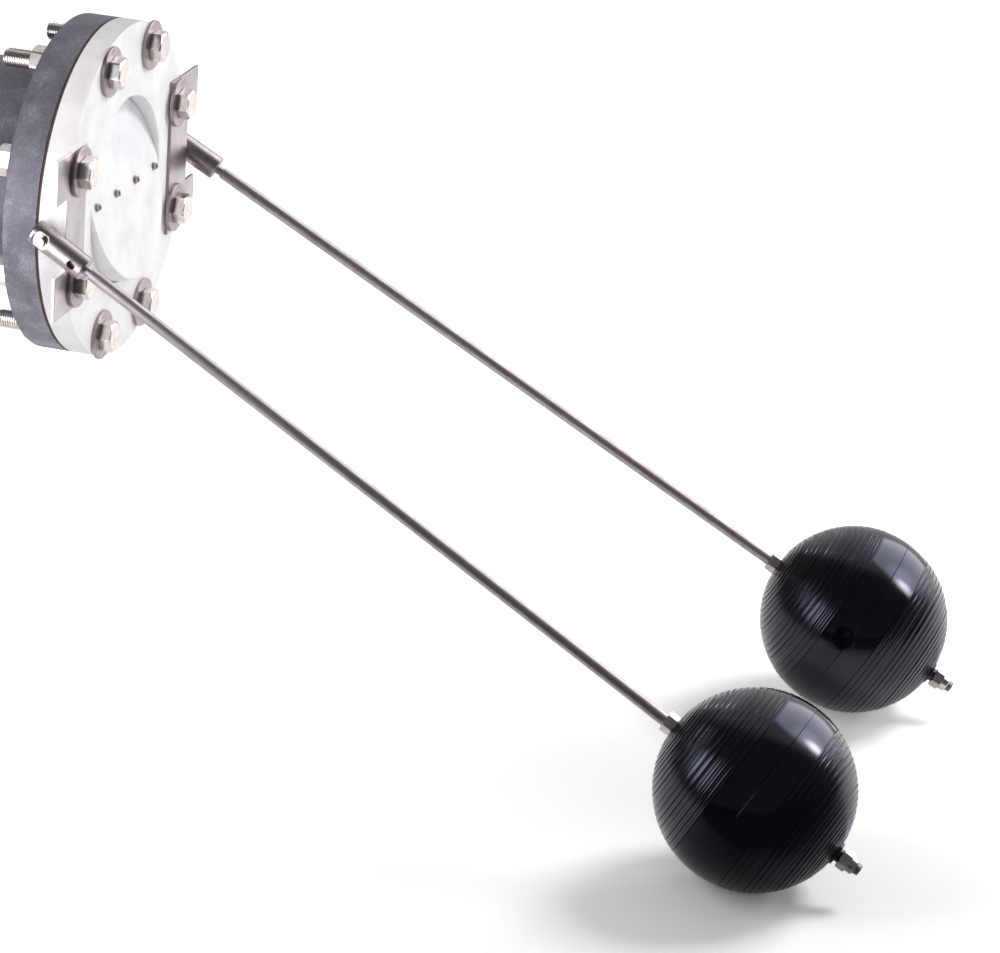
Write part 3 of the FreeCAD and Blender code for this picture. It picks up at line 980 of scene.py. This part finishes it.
@dataclass
class FlangeBolting:
    """The eight bolts, nuts and washers that clamp the valve to the flange."""

    bolt_circle: float = 298.45
    body_face_x: float = 60.35
    plate_thickness: float = 3.175
    washer_thickness: float = 3.8
    flange_back_x: float = -4.25
    diameter: float = 19.05
    pitch: float = 2.54
    length: float = 114.3
    plain_length: float = 45.0
    shank_overlap: float = 1.0
    lead: float = 1.9
    width: float = 28.575
    head_height: float = 12.3
    head_face_height: float = 0.7
    face_share: float = 0.93
    chamfer: float = 30.0
    corner_clearance: float = 1.0
    nut_height: float = 16.3
    countersink: float = 1.0
    turns: tuple[float, ...] = (45.0, 30.0, 40.0, 40.0, 55.0, 30.0, 30.0, 35.0)
    side_bolts: tuple[int, ...] = (0, 3, 4, 7)
    # Bright from the die, with a fine dimpled skin
    forged: StainlessSteel = StainlessSteel(
        "Cold-formed stainless steel", light="#f0eae5", dark="#cfc6bf", mark_width=2.2, smudge=7.0,
        gloss=(0.16, 0.28), depth=0.015,
    )
    # Greyer and duller than the bolts, with no direction
    tumbled: StainlessSteel = StainlessSteel(
        "Tumbled stainless washer", light="#b9afb0", dark="#9c9294", mark_width=1.0, smudge=9.0,
        gloss=(0.36, 0.48), depth=0.02,
    )

    @property
    def face_radius(self) -> float:
        """The radius of the round flat that the chamfer leaves on an end."""
        return self.face_share * self.width / 2

    @property
    def over_radius(self) -> float:
        """A radius just past the hexagon's corners, where a turned outline clears them."""
        return self.width / math.sqrt(3) + self.corner_clearance

    @property
    def chamfer_run(self) -> float:
        """How far the corner chamfer runs along the axis, from the flat's edge to past the corners."""
        return (self.over_radius - self.face_radius) * math.tan(math.radians(self.chamfer))

    def bolt(self) -> Piece:
        """Model one bolt.

        Returns:
            The bolt, its head's seat at x = 0 and its shank towards -X.
        """
        face, over, top = self.face_radius, self.over_radius, self.head_height
        radius, plain_end = self.diameter / 2, -self.plain_length
        head = hexagonal("bolt_head", self.width, [
            (0, 0), (0, face), (self.head_face_height, face), (self.head_face_height, over),
            (top - self.chamfer_run, over), (top, face), (top, 0),
        ])
        shank = turned("bolt_shank", [
            (plain_end, 0), (plain_end, radius), (self.shank_overlap, radius), (self.shank_overlap, 0),
        ], steps=48)
        thread = threaded("bolt_thread", self.diameter, self.pitch, -self.length, plain_end, self.lead)
        combined(shank, thread, "UNION")
        combined(head, shank, "UNION")
        return head

    def nut(self) -> Piece:
        """Model one nut.

        Returns:
            The nut, its seat at x = 0 and its free face towards -X, countersunk round the thread.
        """
        face, over, run = self.face_radius, self.over_radius, self.chamfer_run
        bore, sink, end = self.diameter / 2, self.countersink, -self.nut_height
        return hexagonal("nut", self.width, [
            (0, bore), (0, face), (-run, over), (end + run, over), (end, face), (end, bore + sink),
            (end + sink, bore), (0, bore),
        ])

    def places(self, seat: Callable[[int], float]) -> list[Matrix]:
        """Work out where each bolt or nut goes.

        Args:
            seat: Gives the seat's place along the pipe for a bolt's number.

        Returns:
            One place for each bolt, from the upper left one round.
        """
        found = []
        for number, turn in enumerate(self.turns):
            angle = FULL_TURN / len(self.turns) * (number + 0.5)
            across = Vector((0, math.cos(angle), math.sin(angle))) * (self.bolt_circle / 2)
            shift = Matrix.Translation(Vector((seat(number), 0, 0)) + across)
            found.append(shift @ Matrix.Rotation(math.radians(turn), 4, "X"))
        return found

    def head_seat(self, number: int) -> float:
        """Where a bolt head's seat lies: on its washer, which sits on a stop plate at the sides."""
        plate = self.plate_thickness if number in self.side_bolts else 0.0
        return self.body_face_x + plate + self.washer_thickness

    def build(self) -> None:
        """Model one bolt and one nut, and set copies of them round the flange."""
        sets = (
            ("flange_bolts", self.bolt(), self.places(self.head_seat)),
            ("flange_nuts", self.nut(), self.places(lambda number: self.flange_back_x)),
        )
        for node, pattern, places in sets:
            piece = joined(node + "_formed", *[copied(pattern, place) for place in places])
            bpy.data.objects.remove(pattern)
            hand_over(piece, node, Body.SEAT, self.forged)

    def dress(self) -> None:
        """Give the washers their finish."""
        dress_node("front_washers", self.tumbled)


@dataclass
class DiscAndShaft:
    """The butterfly disc on its shaft, with the screws that hold it."""

    disc_tilt: float = 13.41
    # Small heads that glint unevenly
    small: StainlessSteel = StainlessSteel(
        "Bright stainless screw", light="#c4bcb9", dark="#8d8482", smudge=4.0, gloss=(0.2, 0.34),
    )
    # Fine marks along the shaft
    ground: StainlessSteel = StainlessSteel(
        "Ground stainless shaft", grain=Grain.DRAWN, mark_width=0.6, mark_length=30.0,
        turn=(0, 0, math.pi / 2),
    )

    def dress(self) -> None:
        """Give the disc, the shaft and the screws their finishes."""
        # Soft white like the body, with tool rings that turn with the disc
        dress_node("valve_disc", MachinedPolyethylene(
            "Machined white polyethylene disc", centre=(SHAFT_X * MM, 0, 0),
            turn=(0, -math.radians(self.disc_tilt), 0),
        ))
        dress_node("valve_shaft", self.ground)
        dress_node("disc_screws", self.small)
        dress_node("disc_washers", self.small)


@dataclass
class FloatArms:
    """The two splayed arms: hubs, rods, ball floats and their nuts.

    Distances along an arm start at the shaft's axis. A float's skin is drawn by arcs from its middle seam,
    and each ring is a groove and then a lip: steps along the arc, with shares of the groove's depth or of
    the lip's height.
    """

    offset: float = 185.75
    drop: float = 29.16
    splay: float = 2.9
    hub_front: float = 50.8
    rod_start: float = 25.6
    rod_end: float = 1000.5
    rod_diameter: float = 12.7
    rod_pitch: float = 1.954
    rod_thread: float = 9.0
    rod_lead: float = 1.2
    relief_diameter: float = 9.6
    relief_length: float = 6.5
    relief_slope: float = 0.6
    float_distance: float = 874.2
    float_radius: float = 98.8
    land_radius: float = 13.0
    boss_radius: float = 12.0
    boss_end: float = 100.0
    boss_round: float = 0.5
    neck_radius: float = 7.1
    neck_end: float = 103.5
    skin_clearance: float = 0.2
    seam_half: float = 0.5
    seam_depth: float = 0.45
    belt: float = 27.0
    belt_shares: tuple[float, ...] = (0.09, 0.18, 0.3, 0.42, 0.54, 0.66, 0.78, 0.9)
    ring_pitch: float = 6.25
    ring_count: int = 18
    ring_seed: int = 11
    ring_stray: float = 0.35
    ring_start: Pair = (-0.5, -0.03)
    ring_share: float = 0.6
    groove: tuple[Pair, ...] = ((-0.1, 1.0), (0.2, 0.9))
    groove_depth: float = 0.4
    groove_range: Pair = (0.7, 1.1)
    lip: tuple[Pair, ...] = ((0.5, 0.8), (0.8, 1.0), (1.2, 0.8), (2.0, 0.3))
    lip_range: Pair = (0.2, 0.55)
    nut_width: float = 19.05
    nut_turn: float = 30.0
    nut_height: float = 11.1
    nut_face_share: float = 0.495
    nut_chamfer: float = 30.0
    nut_clearance: float = 0.6
    nut_countersink: float = 0.7
    nut_round: float = 0.3
    lock_hex_height: float = 10.4
    lock_height: float = 17.6
    collar_radius: float = 8.5
    collar_crown: tuple[Pair, ...] = ((1.6, 0.0), (1.0, 0.2), (0.3, 0.8), (0.0, 1.4))
    collar_countersink: float = 0.4
    # Off-white and dull
    nylon: NaturalNylon = NaturalNylon("Natural nylon")
    # Crisp bright flats
    bright: StainlessSteel = StainlessSteel(
        "Machined stainless nut", light="#dcd5d2", dark="#b5acaa", mark_width=0.7, smudge=5.0,
        gloss=(0.16, 0.28), depth=0.008,
    )

    @property
    def land(self) -> float:
        """How far the flat under the upper nut lies above the float's middle."""
        return math.sqrt(self.float_radius ** 2 - self.land_radius ** 2)

    def place(self, side: Side) -> Matrix:
        """Work out where one arm goes.

        Args:
            side: The arm's side.

        Returns:
            The arm's place in millimetres, its X axis down the arm from the shaft's axis.
        """
        lowered = Matrix.Translation((SHAFT_X, 0, 0)) @ Matrix.Rotation(math.radians(self.drop), 4, "Y")
        splayed = Matrix.Rotation(math.radians(side.value * self.splay), 4, "Z")
        return lowered @ Matrix.Translation((0, side.value * self.offset, 0)) @ splayed

    def bar_finish(self, side: Side, name: str, grain: Grain, **settings: object) -> StainlessSteel:
        """Make a bar's steel whose grain follows one arm.

        Args:
            side: The arm's side.
            name: What the bar is.
            grain: How its surface was made.
            settings: The finish's other values.

        Returns:
            The finish.
        """
        place = self.place(side)
        centre = tuple(place.translation * MM)
        turn = tuple(place.to_euler("XYZ"))
        return StainlessSteel(f"{name} {side.label}", grain=grain, centre=centre, turn=turn, **settings)

    def half_skin(self) -> list[Pair]:
        """Draw the skin from beside the seam to one end.

        Returns:
            Arcs from the middle seam, each with a height above the plain ball.
        """
        skin = [(self.seam_half, 0.0)] + [(self.belt * share, 0.0) for share in self.belt_shares]
        chance = random.Random(self.ring_seed)
        for number in range(self.ring_count):
            at = self.belt + number * self.ring_pitch + chance.uniform(-self.ring_stray, self.ring_stray)
            depth = self.groove_depth * chance.uniform(*self.groove_range)
            height = chance.uniform(*self.lip_range)
            skin.append((at + self.ring_start[0], self.ring_start[1]))
            skin += [(at + step, -share * depth) for step, share in self.groove]
            skin += [(at + step, share * height) for step, share in self.lip]
            skin.append((at + self.ring_share * self.ring_pitch, 0.0))
        return skin

    def float_outline(self) -> list[Pair]:
        """Draw the ringed ball.

        Returns:
            Distances along the arm, each with a radius, from the upper flat to the lower neck.
        """
        south = self.half_skin()
        north = [(-arc, height) for arc, height in south]
        points = []
        for arc, height in sorted(north) + [(0.0, -self.seam_depth)] + south:
            reach = self.float_radius + height
            angle = arc / self.float_radius
            points.append((reach * math.sin(angle), reach * math.cos(angle)))
        boss = math.sqrt(self.float_radius ** 2 - self.boss_radius ** 2)
        first, last = self.skin_clearance - self.land, boss - self.skin_clearance
        upper = [(-self.land, 0), (-self.land, self.land_radius)]
        lower = [
            (boss, self.boss_radius), (self.boss_end - self.boss_round, self.boss_radius),
            (self.boss_end, self.boss_radius - self.boss_round), (self.boss_end, self.neck_radius),
            (self.neck_end, self.neck_radius), (self.neck_end, 0),
        ]
        outline = upper + [point for point in points if first < point[0] < last] + lower
        return [(self.float_distance + x, radius) for x, radius in outline]

    def build_floats(self) -> None:
        """Turn one ringed ball and set a copy on each arm."""
        pattern = turned("float_ball", self.float_outline(), steps=160)
        for side in Side:
            piece = named(copied(pattern, self.place(side)), f"float_{side.label}_ringed")
            middle = self.place(side) @ Matrix.Translation((self.float_distance, 0, 0))
            # Wet black, with the lamps mirrored in the belt
            polymer = GlossyPolyethylene(
                f"Glossy black polyethylene {side.label}", belt=self.belt,
                centre=tuple(middle.translation * MM), turn=tuple(middle.to_euler("XYZ")),
            )
            hand_over(piece, "float_" + side.label, Body.ARMS, polymer, smooth=40.0)
        bpy.data.objects.remove(pattern)

    def build_rods(self) -> None:
        """Turn one rod with its relief and its threaded tip, and set a copy on each arm."""
        radius, neck = self.rod_diameter / 2, self.relief_diameter / 2
        tip, relief_end = self.rod_end - self.rod_thread, self.hub_front + self.relief_length
        pattern = turned("rod_bar", [
            (self.rod_start, 0), (self.rod_start, radius), (self.hub_front, radius), (self.hub_front, neck),
            (relief_end, neck), (relief_end + self.relief_slope, radius), (tip, radius), (tip, 0),
        ], steps=48)
        thread = threaded("rod_thread", self.rod_diameter, self.rod_pitch, -self.rod_end, -tip, self.rod_lead)
        thread.data.transform(Matrix.Rotation(math.pi, 4, "Z"))
        combined(pattern, thread, "UNION")
        for side in Side:
            piece = named(copied(pattern, self.place(side)), f"float_rod_{side.label}_threaded")
            # Mid grey, streaked along its length by the die
            drawn_steel = self.bar_finish(
                side, "Drawn stainless rod", Grain.DRAWN, light="#bdb5b4", dark="#999090", mark_width=0.9,
                mark_length=160.0, smudge=22.0, gloss=(0.4, 0.5), depth=0.008,
            )
            hand_over(piece, "float_rod_" + side.label, Body.ARMS, drawn_steel)
        bpy.data.objects.remove(pattern)

    def nut_envelope(self, start: float, end: float) -> list[Pair]:
        """Draw a rod nut's turned outline with both ends' corners taken off.

        Args:
            start: Where the nut starts along the arm.
            end: Where it ends.

        Returns:
            The closed outline, from the bore's upper end round to it again.
        """
        face = self.nut_face_share * self.nut_width
        over = self.nut_width / math.sqrt(3) + self.nut_clearance
        run = (over - face) * math.tan(math.radians(self.nut_chamfer))
        bore, sink = self.rod_diameter / 2, self.nut_countersink
        return [
            (start + sink, bore), (start, bore + sink), (start, face), (start + run, over), (end - run, over),
            (end, face), (end, bore + sink), (end - sink, bore), (start + sink, bore),
        ]

    def build_nuts(self) -> None:
        """Model the nuts above and below a float, and set copies on both arms."""
        top = self.float_distance - self.land
        upper = hexagonal(
            "upper_nut", self.nut_width, self.nut_envelope(top - self.nut_height, top), self.nut_round,
        )
        start = self.float_distance + self.neck_end
        shoulder, end = start + self.lock_hex_height, start + self.lock_height
        bore, sink = self.rod_diameter / 2, self.collar_countersink
        hexagon = self.nut_envelope(start, shoulder)
        crown = [(end - back, self.collar_radius - inward) for back, inward in self.collar_crown]
        lock = hexagonal("lock_nut", self.nut_width, hexagon[:6] + [
            (shoulder, self.collar_radius), *crown, (end, bore + sink), (end - sink, bore), hexagon[-1],
        ], self.nut_round)
        spin = Matrix.Rotation(math.radians(self.nut_turn), 4, "X")
        for node, pattern in (("float_nuts", upper), ("lock_nuts", lock)):
            piece = joined(node + "_formed", *[copied(pattern, self.place(side) @ spin) for side in Side])
            bpy.data.objects.remove(pattern)
            hand_over(piece, node, Body.ARMS, self.bright)

    def build(self) -> None:
        """Model the floats, the rods and the nuts on them."""
        self.build_floats()
        self.build_rods()
        self.build_nuts()

    def dress(self) -> None:
        """Give the hubs and the small hub pieces their finishes."""
        for side in Side:
            # Fine turning marks round the hub, on soft bright bands
            dress_node("arm_hub_" + side.label, self.bar_finish(
                side, "Turned stainless hub", Grain.TURNED, light="#bab3b2", dark="#9c9392",
                mark_length=30.0, smudge=16.0, gloss=(0.24, 0.34), depth=0.12,
            ))
        for name in ("hub_bolts", "hub_washers", "hub_set_screws"):
            dress_node(name, self.bright)
        dress_node("lock_nut_inserts", self.nylon)


# The studio, in metres

@dataclass
class Softbox:
    """One soft lamp.

    Direction runs from the valve to the lamp, and the level is the lamp's own brightness, where 1 is white.
    The soft edge is the share of the way from rim to middle over which the cloth grows bright.
    """

    name: str
    direction: Triple
    distance: float
    size: Pair
    level: float
    colour: str = "#ffffff"
    soft_edge: float = 0.0

    def build(self, target: Vector, role: LampRole) -> None:
        """Hang the lamp and aim it.

        Args:
            target: The point it faces.
            role: What the lamp does.
        """
        lamp = bpy.data.lights.new(self.name, "AREA")
        lamp.shape = "RECTANGLE"
        lamp.size, lamp.size_y = self.size
        lamp.energy = self.level * math.pi * self.size[0] * self.size[1]
        lamp.color = linear(self.colour)[:3]
        if self.soft_edge:
            self.fade_rim(lamp)
        holder = bpy.data.objects.new(self.name, lamp)
        bpy.context.scene.collection.objects.link(holder)
        towards = Vector(self.direction).normalized()
        holder.location = target + towards * self.distance
        holder.rotation_mode = "QUATERNION"
        holder.rotation_quaternion = towards.to_track_quat("Z", "Y")
        holder.visible_camera = False
        holder.visible_glossy = role is LampRole.MIRRORED
        holder.visible_diffuse = role is LampRole.LIGHTS
        log.info("%s: lamp at level %.2f", self.name, self.level)

    def fade_rim(self, lamp: bpy.types.Light) -> None:
        """Make the lamp's cloth brightest in the middle and dark at its rim.

        Args:
            lamp: The lamp.
        """
        lamp.use_nodes = True
        tree = lamp.node_tree
        half = 0.5
        spot = add_node(tree, "NewGeometry").outputs["Parametric"]
        away = add_node(tree, "VectorMath", {
            0: spot, 1: (half, half, 0.0),
        }, operation="DISTANCE").outputs["Value"]
        share = add_node(tree, "MapRange", {
            "Value": away, "From Min": half, "From Max": half * (1 - self.soft_edge),
        }, interpolation_type="SMOOTHSTEP").outputs["Result"]
        tree.links.new(share, tree.nodes["Emission"].inputs["Strength"])


@dataclass
class Studio:
    """White paper floor, soft lamps, pale surroundings and the camera."""

    floor_reach: float = 16.0
    target: Triple = (0.45, 0.0, -0.2)
    camera_place: Triple = (1.49951, -3.86653, 1.29083)
    camera_right: Triple = (0.9575, 0.2806, 0.0674)
    camera_up: Triple = (-0.1612, 0.3263, 0.9314)
    camera_back: Triple = (0.2394, -0.9027, 0.3577)
    lens: float = 152.4
    sensor: float = 36.0
    clip: Pair = (0.1, 100.0)
    bright_side: float = 0.7
    dark_side: float = 0.12
    bright_way: Triple = (0.122, 0.762, 0.639)
    bright_edge: Pair = (0.56, 0.74)
    ambient: float = 0.2
    # Plain white, with only a faint tooth
    paper: StudioPaper = StudioPaper("White background paper")
    # Name, direction, distance, size, level, colour and soft edge
    lights: tuple[Softbox, ...] = (
        Softbox("key_softbox", (0.55, 0.46, 0.7), 2.8, (1.1, 1.0), 12.0),
        Softbox("side_light", (0.6, 0.78, 0.1), 2.6, (0.6, 0.6), 16.5),
        Softbox("front_fill", (0.6, -0.78, 0.12), 3.4, (2.4, 2.0), 2.2),
        Softbox("left_softbox", (-0.511, -0.826, 0.238), 1.175, (0.44, 0.46), 4.4, "#f5f5ff"),
        Softbox("upper_left", (-0.483, -0.628, 0.61), 1.035, (0.44, 0.46), 3.5, "#fff8f2"),
    )
    reflections: tuple[Softbox, ...] = (
        Softbox("left_card", (-0.714, -0.622, 0.261), 0.804, (0.5, 0.7), 6.0, "#f1f1ff", 0.6),
        Softbox("back_panel", (0.533, 0.653, 0.538), 2.98, (4.0, 4.3), 2.6, "#f1f0ff", 0.25),
        Softbox("lamp_glow", (0.721, 0.349, 0.6), 2.91, (1.8, 2.4), 3.0, "#f8f6ff", 1.0),
        Softbox("strip_lamp", (0.8475, 0.242, 0.472), 2.065, (0.5, 1.1), 20.0, "#fff8f2", 0.9),
    )

    def build_floor(self) -> None:
        """Lay the paper under the floats."""
        level = min(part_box("float_" + side.label)[0].z for side in Side)
        bpy.ops.object.select_all(action="DESELECT")
        bpy.ops.mesh.primitive_plane_add(size=2 * self.floor_reach, location=(0, 0, level))
        floor = bpy.context.active_object
        floor.name = "paper_floor"
        bpy.ops.object.transform_apply(location=True, rotation=True, scale=True)
        with editing(floor):
            bpy.ops.mesh.select_all(action="SELECT")
            bpy.ops.mesh.subdivide(number_cuts=3)
        floor.data.materials.append(self.paper.material())
        log.info("paper_floor: at %.4f m", level)

    def build_world(self) -> None:
        """Surround the valve with a pale back and a dim front, even for soft light and white to the eye."""
        world = bpy.data.worlds.new("studio_surroundings")
        bpy.context.scene.world = world
        world.use_nodes = True
        tree = world.node_tree
        tree.nodes.clear()
        way = add_node(tree, "TexCoord").outputs["Generated"]
        depth = add_node(tree, "VectorMath", {
            0: way, 1: self.bright_way,
        }, operation="DOT_PRODUCT").outputs["Value"]
        level = add_node(tree, "MapRange", {
            "Value": depth, **span("From", self.bright_edge),
            "To Min": self.dark_side, "To Max": self.bright_side,
        }, interpolation_type="SMOOTHSTEP").outputs["Result"]
        path = add_node(tree, "LightPath")
        for ray, strength in (("Is Diffuse Ray", self.ambient), ("Is Camera Ray", 1.0)):
            level = add_node(tree, "Mix", {
                0: path.outputs[ray], 2: level, 3: strength,
            }, data_type="FLOAT").outputs[0]
        glow = add_node(tree, "Background", {"Color": linear("#ffffff"), "Strength": level})
        add_node(tree, "OutputWorld", {"Surface": glow.outputs["Background"]})

    def build_camera(self) -> None:
        """Stand the camera where the valve is seen from."""
        lens = bpy.data.cameras.new("viewpoint")
        lens.lens = self.lens
        lens.sensor_width = self.sensor
        lens.clip_start, lens.clip_end = self.clip
        camera = bpy.data.objects.new("viewpoint", lens)
        bpy.context.scene.collection.objects.link(camera)
        turn = Matrix((self.camera_right, self.camera_up, self.camera_back)).transposed()
        camera.rotation_mode = "QUATERNION"
        camera.rotation_quaternion = turn.to_quaternion().normalized()
        camera.location = self.camera_place
        bpy.context.scene.camera = camera

    def build(self) -> None:
        """Set up floor, surroundings, lamps and camera."""
        bpy.context.scene.view_settings.view_transform = "Standard"
        self.build_floor()
        self.build_world()
        for role, lamps in ((LampRole.LIGHTS, self.lights), (LampRole.MIRRORED, self.reflections)):
            for lamp in lamps:
                lamp.build(Vector(self.target), role)
        self.build_camera()


def main() -> None:
    """Build and dress each sub-assembly, then the studio."""
    logging.basicConfig(level=logging.INFO, format="%(name)s %(message)s")
    PipeFlange().dress()
    ValveBody().dress()
    bolting = FlangeBolting()
    bolting.build()
    bolting.dress()
    DiscAndShaft().dress()
    arms = FloatArms()
    arms.build()
    arms.dress()
    Studio().build()


if __name__ == "__main__":
    main()
